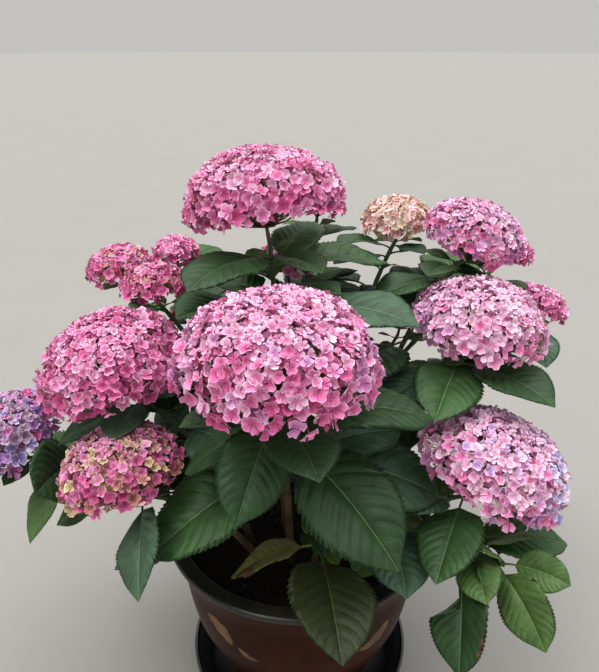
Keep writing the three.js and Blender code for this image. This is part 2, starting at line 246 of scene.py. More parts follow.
SEEDED_TRIES = [
    [0, 0, 1], [18, 0, 1], [-18, 0, 1], [0, 14, 1], [0, -16, 1], [32, 6, 0.92],
    [-32, 6, 0.92], [0, -28, 0.9], [14, 22, 0.85], [-14, -12, 0.8],
]

# Blades by the number of veins a side and the lines from one vein to the next, each with its
# place, its swell and whether it ends in a tooth. The last line opens the next vein's strip.
BLADE = {
    "veins": 9,
    "lines": [
        [0, 0, 0], [0.27, 0.85, 1], [0.333, 0.93, 0],
        [0.6, 1, 1], [0.667, 0.94, 0], [0.93, 0.14, 1],
    ],
}
BUD_BLADE = {"veins": 4, "lines": [[0, 0, 0], [0.5, 1, 1], [0.9, 0.1, 0]]}

# Small leaves: distances down the shoot, length and rise as least and range, jitter and roll
BUD_PLACES = [12, 70, 128]
BUD_LENGTH = [38, 34]
BUD_RISE = [-8, 40]
BUD_JITTER = 40
BUD_ROLL = 20

# Columns of a blade from midrib to edge, their share of the swell, and those of its underside
BLADE_COLUMNS = [0.0, 0.03, 0.28, 0.6, 0.87, 1.0]
COLUMN_SWELL = [0.0, 0.15, 0.85, 1.0, 0.75, 0.2]
UNDER_COLUMNS = [0, 3, 5]
BLADE_THICKNESS = 0.8

# Width of a blade: powers of its rise and fall, and how much and how far its tip is drawn in
BLADE_POWERS = [0.6, 0.7]
TIP_DRAWN = [0.42, 0.09]

# Veins and the quilting between them, and how an edge waves, curls and is toothed
VEIN_SLANT = 0.78
VEIN_BEND = 0.3
QUILT = 0.044
QUILT_VARIETY = [0.7, 0.6]
EDGE_WAVE = 0.07
EDGE_WAVES = 9
EDGE_CURL = 0.16
TOOTH = 0.066
TOOTH_AHEAD = 0.012

# Midrib: half its width and its depth on a leaf of the usual length
USUAL_LENGTH = 220
MIDRIB_HALF = 1.15
MIDRIB_GROOVE = 1.1
MIDRIB_UNDER = 0.014

# Damage to placed leaves: a bite is [side, from, to, width left], and a brown patch is
# [side, middle, half its length, how near the midrib it starts]
DAMAGE = {
    ("young_right", 1): {"bite": [-1, 0.0, 0.5, 0.16], "brown": [1, 0.74, 0.1, 0.84]},
    ("young_front", 1): {"bite": [1, 0.74, 0.86, 0.75], "brown": [1, 0.68, 0.17, 0.02]},
}
BITE_SOFTNESS = 0.06

# Florets of a head: their radius at its top and rim in millimetres, and how they cover it, vary,
# sink, tilt and hang. A petal is its rings from base to edge, and its columns.
FLORET_COVER = 1.6
FLORET_SIZE = [6.6, 13.4]
FLORET_GROWTH = 0.2
USUAL_HEAD_RADIUS = 128
FLORET_VARIETY = 0.18
FLORET_SHELL = 0.95
FLORET_DEPTH = 0.09
FLORET_TILT = 36
FLORET_JITTER = 5
FLORET_VARIANTS = 24
LOWEST_FLORET = -0.28
RIM_HANG = 15
TASSELS = 1.6
LUMPS = 0.035
LUMP_SPREAD = 2.2
LUMP_WAVES = 5
HEAD_LEVELS = 300
INNER_SHARE = 0.45
INNER_LAYER = [0.86, 0.05]
INNER_SIZE = 1.2
OUTER_PETAL = [[0.1, 0.5, 0.84, 1.0], 3]
INNER_PETAL = [[0.1, 0.6, 1.0], 2]
BEAD_RADIUS = 1.3
BEAD_SIDES = 4
BEAD_RINGS = [(0, 1.1), (0.9, 0)]

# Petals as shares of the floret's radius. A pair is the least value and how far it ranges.
PETAL_REACH = [0.88, 0.14]
PETAL_CUP = [0.35, 0.5]
PETAL_LIFT = 0.45
PETAL_HOLLOW = 0.34
PETAL_OVERLAP = 0.14
PETAL_NOTCH = 0.1
PETAL_RIPPLE = 0.12

# Stalks in a head: the hub's depth, florets to a branch, how far out it forks, its sag, and the
# radii of the stalk, the branches and the florets' own stalks
HUB_DEPTH = 0.3
BRANCH_EVERY = 9
BRANCH_REACH = 0.58
BRANCH_SAG = 0.04
STALK_RADII = [3.4, 3.2, 2.6]
BRANCH_RADII = [1.6, 1.3, 1.1]
PEDICEL_RADII = [0.8, 0.6]

# Soil: its surface, the waves that make its crumbs, its skirt, and loose bark chips
SOIL_RINGS = 44
SOIL_SPOKES = 150
SOIL_WAVES = 26
CRUMB_DROP = 2.2
CRUMB_HEIGHT = 0.9
SOIL_SKIRT = 20
BARK_CHIPS = 420
CHIP_SIZE = [2.5, 6]


def seeded(seed):
    state = seed

    def draw():
        nonlocal state
        state = state * 16807 % 2147483647
        return state / 2147483647

    return draw


def ranged(pair, draw):
    """A value drawn from the least one and how far it ranges."""
    return pair[0] + pair[1] * draw()


def pick(choices, draw):
    return choices[int(draw() * len(choices)) % len(choices)]


def stray(draw):
    """A vector that points any way."""
    return np.array([draw() - 0.5, draw() - 0.5, draw() - 0.5])


def unit(vectors):
    vectors = np.asarray(vectors, float)
    return vectors / np.linalg.norm(vectors, axis=-1, keepdims=True)


def linked(name, data):
    """A new object in the scene that shows the data."""
    made = bpy.data.objects.new(name, data)
    bpy.context.scene.collection.objects.link(made)
    return made


# Joined meshes

class Pile:
    """Points, quads and material numbers of pieces that become one joined mesh."""

    def __init__(self):
        self.points = []
        self.quads = []
        self.slots = []
        self.count = 0

    def add(self, points, quads, slots):
        quads = np.asarray(quads, int)
        self.points.append(np.asarray(points, float))
        self.quads.append(quads + self.count)
        self.slots.append(np.broadcast_to(np.asarray(slots, int), len(quads)))
        self.count += len(points)

    def joined(self):
        return [np.concatenate(part) for part in (self.points, self.quads, self.slots)]

    def make(self, name, materials, slot, replaced):
        points, quads, slots = self.joined()
        mesh = bpy.data.meshes.new(name)
        mesh.vertices.add(len(points))
        mesh.vertices.foreach_set("co", (points * MM).ravel())
        mesh.loops.add(quads.size)
        mesh.loops.foreach_set("vertex_index", quads.ravel())
        mesh.polygons.add(len(quads))
        mesh.polygons.foreach_set("loop_start", np.arange(0, quads.size, 4))
        mesh.polygons.foreach_set("material_index", slots)
        mesh.update(calc_edges=True)
        for material in materials:
            mesh.materials.append(material)
        shape = bmesh.new()
        shape.from_mesh(mesh)
        bmesh.ops.remove_doubles(shape, verts=shape.verts, dist=MERGE_DISTANCE * MM)
        shape.to_mesh(mesh)
        shape.free()
        mesh.polygons.foreach_set("use_smooth", [True] * len(mesh.polygons))
        piece = linked(name, mesh)
        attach(piece, "root")
        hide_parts(*replaced)


def grid_quads(rows, columns, closed=False):
    """Quads over a grid of points in rows; a closed grid joins its last column to its first."""
    across = columns if closed else columns - 1
    i, j = np.meshgrid(np.arange(rows - 1), np.arange(across), indexing="ij")
    a = i * columns + j
    b = i * columns + (j + 1) % columns
    return np.stack([a, b, b + columns, a + columns], axis=-1).reshape(-1, 4)


def spokes(count):
    """Angles spaced evenly round a circle."""
    return np.arange(count) * 2 * math.pi / count


def round_points(radii, angles, heights):
    """Points of a grid from distances to the upright axis, angles round it and heights."""
    grid = np.broadcast_arrays(radii * np.cos(angles), radii * np.sin(angles), heights)
    return np.stack(grid, axis=-1).reshape(-1, 3)


def out_of_round(angles, share):
    """Swell of a radius that strays from round by a small share."""
    return 1 + share * (np.sin(3 * angles + 0.7) + 0.6 * np.sin(5 * angles + 2))


def turned_shape(outline, sides, wobble=0.0):
    """Points and quads of a shape turned about +Z from an outline of [radius, height]."""
    outline = np.asarray(outline, float)
    angles = spokes(sides)
    radii = outline[:, :1] * out_of_round(angles, wobble)
    quads = grid_quads(len(outline), sides, closed=True)
    return round_points(radii, angles, outline[:, 1:]), quads


def tube(line, radii, sides, ends=True, relief=None):
    """Points and quads of a round limb along a line of points, with its ends closed or open."""
    line = np.asarray(line, float)
    along = unit(np.gradient(line, axis=0))
    if ends:
        line = np.concatenate([line[:1], line, line[-1:]])
        along = np.concatenate([along[:1], along, along[-1:]])
        radii = [0.0, *radii, 0.0]
    side = np.cross(along[0], UP)
    if np.linalg.norm(side) < 1e-3:
        side = np.array([1.0, 0.0, 0.0])
    angles = spokes(sides)
    rows = []
    for index, (middle, radius, ahead) in enumerate(zip(line, radii, along)):
        side = unit(side - ahead * side.dot(ahead))
        rise = np.cross(ahead, side)
        around = np.outer(np.cos(angles), side) + np.outer(np.sin(angles), rise)
        swell = 1.0 if relief is None else relief(index, angles)[:, None]
        rows.append(middle + around * radius * swell)
    return np.concatenate(rows), grid_quads(len(line), sides, closed=True)


class Bend:
    """A quadratic curve from a start by a bend to an end."""

    def __init__(self, start, bend, end):
        self.ends = [np.asarray(p, float) for p in (start, bend, end)]

    def point(self, t):
        t = np.asarray(t, float)[..., None]
        a, b, c = self.ends
        return a * (1 - t) ** 2 + b * 2 * t * (1 - t) + c * t ** 2

    def tangent(self, t):
        t = np.asarray(t, float)[..., None]
        a, b, c = self.ends
        return unit((b - a) * (1 - t) + (c - b) * t)


# The plant's rule

def head_axis(name):
    return unit([HEADS[name][4], HEADS[name][5], 1])


def head_middle(name):
    return np.array(HEADS[name][:3], float)


def shoot_end(name):
    if name in LEAFY_TIPS:
        return np.array(LEAFY_TIPS[name], float)
    return head_middle(name) - head_axis(name) * HEADS[name][3] * STALK_SHARE


def bent(start, end, lean, climb):
    return Bend(start, start + (end - start) * np.array([lean, lean, climb]), end)


def shoot_curve(cane, index):
    x, y, names = CANES[cane]
    foot = np.array([x, y, SOIL_TOP], float)
    own = bent(foot, shoot_end(names[0]), CANE_LEAN, CANE_CLIMB)
    if index == 0:
        return own
    fork = own.point(FORK + FORK_STEP * (index - 1))
    return bent(fork, shoot_end(names[index]), FORK_LEAN, FORK_CLIMB)


def place_down(curve, start, down):
    left = down
    here = curve.point(1)
    for i in range(PATH_STEPS - 1, 0, -1):
        if i / PATH_STEPS <= start + LEAFLESS_SHARE:
            return None
        ahead = curve.point(i / PATH_STEPS)
        step = np.linalg.norm(ahead - here)
        if left <= step:
            return here + (ahead - here) * left / step
        left -= step
        here = ahead
    return None


def direction(azimuth, rise):
    a, r = math.radians(azimuth), math.radians(rise)
    return np.array([math.cos(r) * math.cos(a), math.cos(r) * math.sin(a), math.sin(r)])


def paired_rows(name, draw):
    heading = 360 * draw()
    rows = []
    k = 0
    while PAIR_FIRST + PAIR_STEP * k <= PAIR_LAST:
        for side in range(2):
            place, turn, lift, size = draw(), draw(), draw(), draw()
            grown = YOUNG_LENGTH if name in LEAFY_TIPS else PAIR_LENGTH[0] + PAIR_LENGTH[1] * size
            rows.append([
                PAIR_FIRST + PAIR_STEP * k + JITTER["down"] * place,
                heading + 90 * k + 180 * side + JITTER["azimuth"] * (turn - 0.5),
                PAIR_RISE[0] + PAIR_RISE[1] * k + JITTER["rise"] * (lift - 0.5),
                grown * min(1, PAIR_AGE[0] + PAIR_AGE[1] * k),
                JITTER["roll"] * (turn - 0.5),
            ])
        k += 1
    return rows


def shoots():
    """Every shoot in the solids' order: its cane, name, curve and where its leaves may start."""
    for cane, (_, _, names) in CANES.items():
        for index, name in enumerate(names):
            yield cane, name, shoot_curve(cane, index), SPLIT if index == 0 else 0


def solid_corners(cane):
    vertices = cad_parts[f"leaves_{cane}"].data.vertices
    tree = KDTree(len(vertices))
    for vertex in vertices:
        tree.insert(vertex.co / MM, vertex.index)
    tree.balance()
    return tree


def kept_leaf(root, row, tries, corners):
    """The try at which the solid's leaf grew, known by its tip, or None if it was left out."""
    _, azimuth, rise, length, roll = row
    for turn, lift, scale in tries:
        tip = root + direction(azimuth + turn, rise + lift) * length * scale
        if corners.find(Vector(tip))[2] < TIP_MATCH:
            return root, azimuth + turn, rise + lift, length * scale, roll
    return None


def all_leaves():
    """Leaves of the solids as (cane, shoot name, placed number or None, leaf)."""
    corners = {cane: solid_corners(cane) for cane in CANES}
    found = []

    def look(cane, name, curve, start, number, row, tries):
        root = place_down(curve, start, row[0])
        leaf = None if root is None else kept_leaf(root, row, tries, corners[cane])
        if leaf:
            found.append((cane, name, number, leaf))

    for shoot in shoots():
        for number, row in enumerate(PLACED.get(shoot[1], [])):
            look(*shoot, number, row if len(row) == 5 else [*row, 0], PLACED_TRIES)
    for index, shoot in enumerate(shoots()):
        for row in paired_rows(shoot[1], seeded(LEAF_SEED + LEAF_SEED_STEP * index)):
            look(*shoot, None, row, SEEDED_TRIES)
    return found


# Materials

def linear(colour):
    """A colour from 0 to 255 as seen on a screen, as linear light."""
    shares = [c / 255 for c in colour]
    return [s / 12.92 if s <= 0.04045 else ((s + 0.055) / 1.055) ** 2.4 for s in shares] + [1.0]


def set_inputs(node, values):
    for name, value in values.items():
        node.inputs[name].default_value = value


def bump_over(tree, height, strength, under=None):
    """A bump from a height socket, over another bump if one is given."""
    raised = tree.nodes.new("ShaderNodeBump")
    set_inputs(raised, {"Strength": strength, "Distance": BUMP_DEPTH})
    tree.links.new(height, raised.inputs["Height"])
    if under:
        tree.links.new(under.outputs["Normal"], raised.inputs["Normal"])
    return raised


def mottled(
    name, colours, scale, roughness,
    bump=0.2, bump_scale=400, stretch=(1, 1, 1), cells=0, shine=0.5, bloom=0,
):
    """A material whose colour wanders between two near ones, with a fine bump and, if a scale
    of cells is given, the net of small veins between them."""
    material = bpy.data.materials.new(name)
    material.use_nodes = True
    tree = material.node_tree
    surface = tree.nodes["Principled BSDF"]
    looks = {"Roughness": roughness, "Specular IOR Level": shine, "Sheen Weight": bloom}
    set_inputs(surface, looks)
    place = tree.nodes.new("ShaderNodeTexCoord")
    mapping = tree.nodes.new("ShaderNodeMapping")
    set_inputs(mapping, {"Scale": stretch})
    tree.links.new(place.outputs["Object"], mapping.inputs["Vector"])

    def noise(size, detail):
        node = tree.nodes.new("ShaderNodeTexNoise")
        set_inputs(node, {"Scale": size, "Detail": detail})
        tree.links.new(mapping.outputs["Vector"], node.inputs["Vector"])
        return node.outputs["Fac"]

    ramp = tree.nodes.new("ShaderNodeValToRGB")
    for end, at, colour in zip(ramp.color_ramp.elements, RAMP_ENDS, colours):
        end.position = at
        end.color = linear(colour)
    tree.links.new(noise(scale, 4), ramp.inputs["Fac"])
    tree.links.new(ramp.outputs["Color"], surface.inputs["Base Color"])
    raised = bump_over(tree, noise(bump_scale, 3), bump)
    if cells:
        net = tree.nodes.new("ShaderNodeTexVoronoi")
        net.feature = "DISTANCE_TO_EDGE"
        set_inputs(net, {"Scale": cells})
        tree.links.new(mapping.outputs["Vector"], net.inputs["Vector"])
        raised = bump_over(tree, net.outputs["Distance"], NET_BUMP, raised)
    tree.links.new(raised.outputs["Normal"], surface.inputs["Normal"])
    return material


def shade(colour, factor):
    return [min(255, c * factor) for c in colour]


# Blades, midribs, veins and undersides of leaves, by style. The darkest style is the usual green
# darkened, painted shade for leaves under the heads and also drawn at random among the others; the
# blue-grey style is painted reflection of the sky.
LEAF_COLOURS = {
    "dark_shaded": [(42, 74, 36), (104, 134, 84), (54, 88, 47), (84, 108, 76)],
    "mid": [(58, 94, 47), (120, 150, 94), (73, 111, 60), (92, 116, 82)],
    "sky_sheen": [(66, 98, 70), (122, 150, 116), (82, 116, 86), (92, 116, 94)],
    "young": [(86, 120, 60), (142, 166, 104), (104, 138, 74), (112, 140, 84)],
    "olive": [(46, 58, 24), (104, 112, 60), (58, 70, 32), (80, 90, 54)],
    "yellow": [(146, 142, 62), (170, 166, 96), (156, 152, 72), (144, 140, 82)],
}
BROWN = (124, 80, 48)
STYLES = list(LEAF_COLOURS)

# Styles of placed leaves by their numbers, where they don't take the usual ones. The darkest style
# paints shade on leaves under the heads and the blue-grey one paints sky reflection.
PLACED_STYLES = {
    "young_front": {0: "olive", 1: "yellow"},
    "young_right": {0: "mid", 1: "dark_shaded"},
    "far_left": {2: "young"},
    "centre": {0: "dark_shaded", 1: "dark_shaded", 2: "dark_shaded", 3: "sky_sheen", 4: "mid"},
    "right": {0: "mid"},
    "right_low": {0: "mid"},
    "top": {0: "dark_shaded", 2: "mid", 4: "sky_sheen"},
}

# Tones of petals from deep to pale
PETAL_TONES = {
    "rose": [
        (178, 54, 110), (204, 78, 138), (222, 102, 160), (234, 128, 182),
        (241, 154, 201), (246, 180, 217), (250, 206, 231), (253, 224, 240),
    ],
    "orchid": [(176, 84, 150), (198, 112, 174), (214, 140, 194), (226, 166, 212), (236, 192, 226)],
    "lilac": [(150, 92, 166), (176, 122, 192), (198, 152, 212), (214, 178, 226), (230, 204, 238)],
    "mauve": [(138, 112, 184), (164, 142, 204), (190, 172, 222), (214, 202, 236), (232, 226, 244)],
    "peach": [
        (208, 112, 122), (226, 144, 146), (238, 170, 166), (245, 194, 186), (249, 214, 206),
        (253, 230, 224),
    ],
    "cream": [(182, 158, 108), (208, 184, 136), (228, 206, 166), (241, 224, 194), (250, 238, 218)],
    # Dull, darkened tones: painted shade for a head that lies out of the light
    "shaded_dusky": [(112, 78, 108), (140, 104, 134), (164, 130, 158), (188, 156, 184), (210, 184, 208)],
    "faded": [(158, 92, 92), (186, 120, 114), (208, 148, 140), (226, 176, 168), (238, 202, 196)],
}
PETAL_NUMBERS = [(ramp, tone) for ramp, tones in PETAL_TONES.items() for tone in range(len(tones))]

# Florets of each head: shares, tones and the deepest step of the tones that they take
PLAIN_BLOOM = [[3, "rose", 1], [4, "rose", 2], [2, "rose", 3]]
BLOOMS = {
    "centre": [[4, "rose", 2], [5, "rose", 3], [1, "rose", 4], [1, "orchid", 2]],
    "left": [[3, "rose", 1], [5, "rose", 2], [3, "rose", 3]],
    "left_low": [
        [3, "rose", 1], [4, "rose", 2], [3, "faded", 0], [1, "faded", 2], [0.6, "cream", 0],
    # This head is painted mostly in the dull, darkened tones as painted shade
    ],
    "far_left": [
        [4, "shaded_dusky", 1], [2, "orchid", 0], [2, "lilac", 0], [1, "rose", 1], [2, "mauve", 0],
    ],
    "top": [[4, "rose", 2], [5, "rose", 3], [2, "rose", 4]],
    "right_up": [[3, "rose", 3], [4, "rose", 4], [2, "orchid", 2]],
    "peach": [[4, "peach", 2], [5, "peach", 3], [3, "cream", 2]],
    "right": [[2, "rose", 3], [4, "rose", 4], [4, "rose", 5], [1, "orchid", 3]],
    "right_side": [[3, "rose", 2], [4, "rose", 3]],
    "right_back": [[3, "rose", 2], [4, "rose", 3], [1, "orchid", 2]],
    "right_low": [
        [2, "rose", 3], [4, "rose", 4], [4, "rose", 5], [3, "orchid", 2], [1, "lilac", 2],
    ],
    "small_left": [[3, "rose", 1], [3, "rose", 2], [2, "faded", 1]],
    "small_mid": [[3, "rose", 1], [3, "rose", 2], [2, "faded", 1]],
}

# Painted shade: florets far to one side, or to both for 0, where a head turns away from the front
# and its light,
# take another, bluer colour: side, from where, tones, step
SHADED_FLANKS = {
    "centre": [0, 0.82, "orchid", 2],
    "left": [-1, 0.85, "orchid", 2],
    "far_left": [-1, 0.1, "mauve", 1],
    "right_up": [1, 0.5, "orchid", 2],
    "right": [-1, 0.8, "orchid", 3],
    "right_low": [1, 0.4, "mauve", 2],
}
SHADED_FLANK_SHARE = 0.6
SHADED_FLANK_BLUR = 0.3

# Painted light and shade: petals are painted paler up a head, where light falls from above, and
# deeper low on it, by so many tones from its middle plane to its top. At the level given they have
# the head's own tones.
PAINTED_LIGHT_CLIMB = 2.0
PAINTED_LIGHT_LEVEL = 0.42
TONE_SPREAD = 1.4
# Petal edges are two tones paler than their bases, partly the petals' own colour and partly painted
# highlight on curled edges; a share of florets take one more paler step
PALE_EDGE_HIGHLIGHT_SHARE = 0.35


def petal_materials():
    return [
        mottled(
            f"petal_{ramp}_{tone}", (shade(colour, 0.94), colour), 120, 0.65,
            0.12, 900, shine=0.25, bloom=0.3,
        )
        for ramp, tones in PETAL_TONES.items()
        for tone, colour in enumerate(tones)
    ]


def leaf_materials():
    made = []
    for style, (blade, midrib, vein, under) in LEAF_COLOURS.items():
        made += [
            mottled(
                f"blade_{style}", (shade(blade, 0.78), blade), 38, 0.5,
                0.25, 900, cells=190, shine=0.34,
            ),
            mottled(f"midrib_{style}", (shade(midrib, 0.88), midrib), 90, 0.55, 0.1, shine=0.3),
            mottled(f"vein_{style}", (shade(vein, 0.85), vein), 60, 0.5, 0.1, shine=0.26),
            mottled(
                f"under_{style}", (shade(under, 0.9), under), 60, 0.7,
                0.3, 600, cells=190, shine=0.2,
            ),
        ]
    made.append(mottled("blade_brown", (shade(BROWN, 0.55), BROWN), 160, 0.8, 0.4))
    return made


# Leaves

def blade_width(t):
    """Half width along a blade as a share of the widest."""
    rise, fall = BLADE_POWERS
    peak = rise / (rise + fall)
    t = np.clip(t, 0, 1)
    drawn = 1 - TIP_DRAWN[0] * np.exp(-((1 - t) / TIP_DRAWN[1]) ** 2)
    return drawn * (t ** rise * (1 - t) ** fall) / (peak ** rise * (1 - peak) ** fall)


def bitten(t, out, bite):
    """Share of the width that a bite leaves, along the blade and on one side of it."""
    side, first, last, kept = bite
    inside = np.clip(np.minimum(t - first, last - t) / BITE_SOFTNESS + 0.5, 0, 1)
    return 1 - (1 - kept) * inside * (out * side > 0)


def blade_slots(t, columns, per_vein, slot, damage):
    """Material numbers of a blade's quads: blade, midrib, vein, or brown where it is damaged."""
    rows, count = t.shape
    row = np.repeat(np.arange(rows - 1), count - 1)
    column = np.tile(np.arange(count - 1), rows - 1)
    last = len(BLADE_COLUMNS) - 1
    strip = (row % per_vein == per_vein - 1) & (column > 0) & (column < count - 2)
    midrib = (column == last - 1) | (column == last)
    slots = np.where(midrib, slot + 1, np.where(strip, slot + 2, slot))
    if "brown" in damage:
        side, centre, spread, inner = damage["brown"]
        ragged = spread * (1 + 0.3 * np.sin(row * 2.3 + column))
        patch = np.abs(t[row, column] - centre) < ragged
        patch &= columns[column] * side + 0.1 * np.sin(row * 1.7) > inner
        slots = np.where(patch, len(STYLES) * 4, slots)
    return slots


def petiole_mesh(stems, leaf, blade, style):
    root, azimuth, rise, length, _ = leaf
    bend = root + direction(azimuth, rise + 2 * PETIOLE_RISE) * length * PETIOLE_BEND
    line = Bend(root, bend, blade.point(PETIOLE_JOINT)).point(np.linspace(0, 1, len(PETIOLE_RADII)))
    radius = PETIOLE_BASE_RADIUS + PETIOLE_RADIUS_SHARE * length
    slot = 1 if style in ("young", "yellow") else 0
    stems.add(*tube(line, radius * np.array(PETIOLE_RADII), 6), slot)


def leaf_mesh(pile, stems, leaf, style, draw, kind=BLADE, damage=None):
    root, azimuth, rise, length, roll = leaf
    damage = damage or {}
    neck = root + direction(azimuth, rise + PETIOLE_RISE) * length * PETIOLE_SHARE
    tip = root + direction(azimuth, rise) * length
    blade = Bend(neck, (neck + tip) / 2 + UP * length * LEAF_ARCH, tip)
    half = 0.5 * LEAF_WIDTH * length
    level = direction(azimuth + 90, 0)

    veins, lines = kind["veins"], kind["lines"]
    table = [[(k + place) / veins, *rest] for k in range(veins) for place, *rest in lines]
    start, swell, tooth = np.array([*table, [1, 0, 0]])[:, :, None].transpose(1, 0, 2)
    columns = np.array([-v for v in BLADE_COLUMNS[:0:-1]] + BLADE_COLUMNS)
    far = np.abs(columns)
    edge = far > 0.99
    slant = VEIN_SLANT * np.sqrt(start) * (1 - start)
    bow = (1 - VEIN_BEND) * far + VEIN_BEND * far ** 2
    t = start + slant * bow + TOOTH_AHEAD * tooth * edge * (1 - start)
    t = np.clip(t, 0, 1)
    width = half * blade_width(t)
    if "bite" in damage:
        width = width * bitten(t, columns, damage["bite"])
    x = columns * width * (1 + TOOTH * tooth * edge)
    rib = np.minimum(MIDRIB_HALF * length / USUAL_LENGTH * (1 - 0.6 * t), 0.3 * width)
    x = np.where(far == BLADE_COLUMNS[1], np.sign(columns) * rib, x)

    rows, count = t.shape
    panels = [[ranged(QUILT_VARIETY, draw) for _ in range(2)] for _ in range(veins + 1)]
    panel = np.array(panels)[np.arange(rows)[:, None] // len(lines), (columns > 0).astype(int)]
    raised = np.array(COLUMN_SWELL[:0:-1] + COLUMN_SWELL)
    quilt = QUILT * half * swell * raised * panel * np.sqrt(width / half)
    groove = MIDRIB_GROOVE * length / USUAL_LENGTH * (far == 0)
    phase = TURN * draw()
    wave = EDGE_WAVE * half * np.sin(EDGE_WAVES * t + phase + np.sign(columns)) * far ** 2
    curl = -EDGE_CURL * half * far ** 3 * (0.4 + draw())
    z = BLADE_FOLD * np.abs(x) + quilt - groove + (wave + curl) * blade_width(t)

    middle = blade.point(t)
    along = blade.tangent(t)
    turn = math.radians(roll)
    side = (
        level * math.cos(turn)
        + np.cross(along, level) * math.sin(turn)
        + along * (along @ level)[..., None] * (1 - math.cos(turn))
    )
    normal = unit(np.cross(along, side))
    top = middle + side * x[..., None] + normal * z[..., None]
    slot = STYLES.index(style) * 4
    slots = blade_slots(t, columns, len(lines), slot, damage)
    pile.add(top.reshape(-1, 3), grid_quads(rows, count)[:, ::-1], slots)

    last = len(BLADE_COLUMNS) - 1
    keep = sorted({last + s * c for c in UNDER_COLUMNS for s in (-1, 1)})
    lower = z[:, keep] - BLADE_THICKNESS * (far[keep] < 0.99) * np.minimum(1, width[:, keep] / 4)
    lower = lower - (far[keep] == 0) * MIDRIB_UNDER * half * (1 - start)
    under = middle[:, keep] + side[:, keep] * x[:, keep, None] + normal[:, keep] * lower[..., None]
    pile.add(under.reshape(-1, 3), grid_quads(rows, len(keep)), slot + 3)
    petiole_mesh(stems, leaf, blade, style)


def leaf_style(name, number, draw):
    """Style of a leaf from where it grows: placed leaves take styles that paint their shade or sky
    reflection, and other leaves on flowering shoots take one of three at random.
    """
    pick = draw()
    placed = PLACED_STYLES.get(name, {})
    if number in placed:
        return placed[number]
    if name in LEAFY_TIPS:
        return "young"
    return "dark_shaded" if pick < 0.5 else "mid" if pick < 0.75 else "sky_sheen"


def bud_leaves(draw):
    """Small leaves in opposite pairs close under each flower head and in the axils."""
    for cane, _, curve, start in shoots():
        for down in BUD_PLACES:
            root = place_down(curve, start, down)
            if root is None:
                continue
            heading = 360 * draw()
            for side in range(2):
                length = ranged(BUD_LENGTH, draw)
                azimuth = heading + 180 * side + BUD_JITTER * (draw() - 0.5)
                rise = ranged(BUD_RISE, draw)
                yield cane, (root, azimuth, rise, length, BUD_ROLL * (draw() - 0.5))


# Florets

def petal(rings, columns, turn, spread, draw):
    """One petal of a floret of radius 1 that lies across +Z: points, quads and zone of each."""
    v = np.linspace(-1, 1, columns + 1)
    ring = np.array(rings)[:, None]
    notch = PETAL_NOTCH * draw() ** 2 * np.exp(-(v / 0.5) ** 2)
    r = ring * ranged(PETAL_REACH, draw) * (1 - 0.3 * np.abs(v) ** 2.6 - notch)
    angle = turn + spread * v * (0.66 + 0.34 * ring)
    cup = ranged(PETAL_CUP, draw)
    lift = PETAL_LIFT * (draw() - 0.3)
    overlap = PETAL_OVERLAP * (1 if draw() < 0.5 else -1)
    hollow = PETAL_HOLLOW * (draw() - 0.2)
    ripple = PETAL_RIPPLE * np.sin(4 * v + 6 * draw()) * ring ** 2
    z = lift * r + cup * (r ** 2 - 0.62 * r ** 4) + (overlap * v + hollow * v ** 2) * r + ripple
    zones = np.repeat(np.arange(len(rings) - 1), columns)
    return round_points(r, angle, z), grid_quads(len(ring), len(v)), zones


def floret_shapes(rings, columns, draw):
    """Floret templates of four or five petals, each as points, quads and zones."""
    made = []
    for _ in range(FLORET_VARIANTS):
        petals = 5 if draw() < 0.5 else 4
        floret = Pile()
        for k in range(petals):
            turn = 2 * math.pi * k / petals + 0.2 * (draw() - 0.5)
            floret.add(*petal(rings, columns, turn, math.pi / petals * 1.06, draw))
        made.append(floret.joined())
    return made


def turned_to(normal, spin):
    """Rotation matrix that takes +Z to a direction after a spin about +Z."""
    lean = Vector(UP).rotation_difference(Vector(normal))
    return np.array((lean @ Quaternion((0, 0, 1), spin)).to_matrix())


def floret_radius(level, radius):
    """Florets are small at the top of a head and larger toward its rim."""
    small, large = FLORET_SIZE
    share = (1 - level) / (1 - LOWEST_FLORET)
    growth = 1 - FLORET_GROWTH + FLORET_GROWTH * radius / USUAL_HEAD_RADIUS
    return (small + (large - small) * share) * growth


def uneven(waves, scale, draw):
    """A smooth wander over the unit sphere, within the scale and of so many waves round it."""
    ways = [unit(stray(draw)) for _ in range(6)]
    phases = [TURN * draw() for _ in ways]

    def wander(sphere):
        return scale * sum(
            math.sin(waves * sphere.dot(way) + phase) for way, phase in zip(ways, phases)
        ) / len(ways)

    return wander


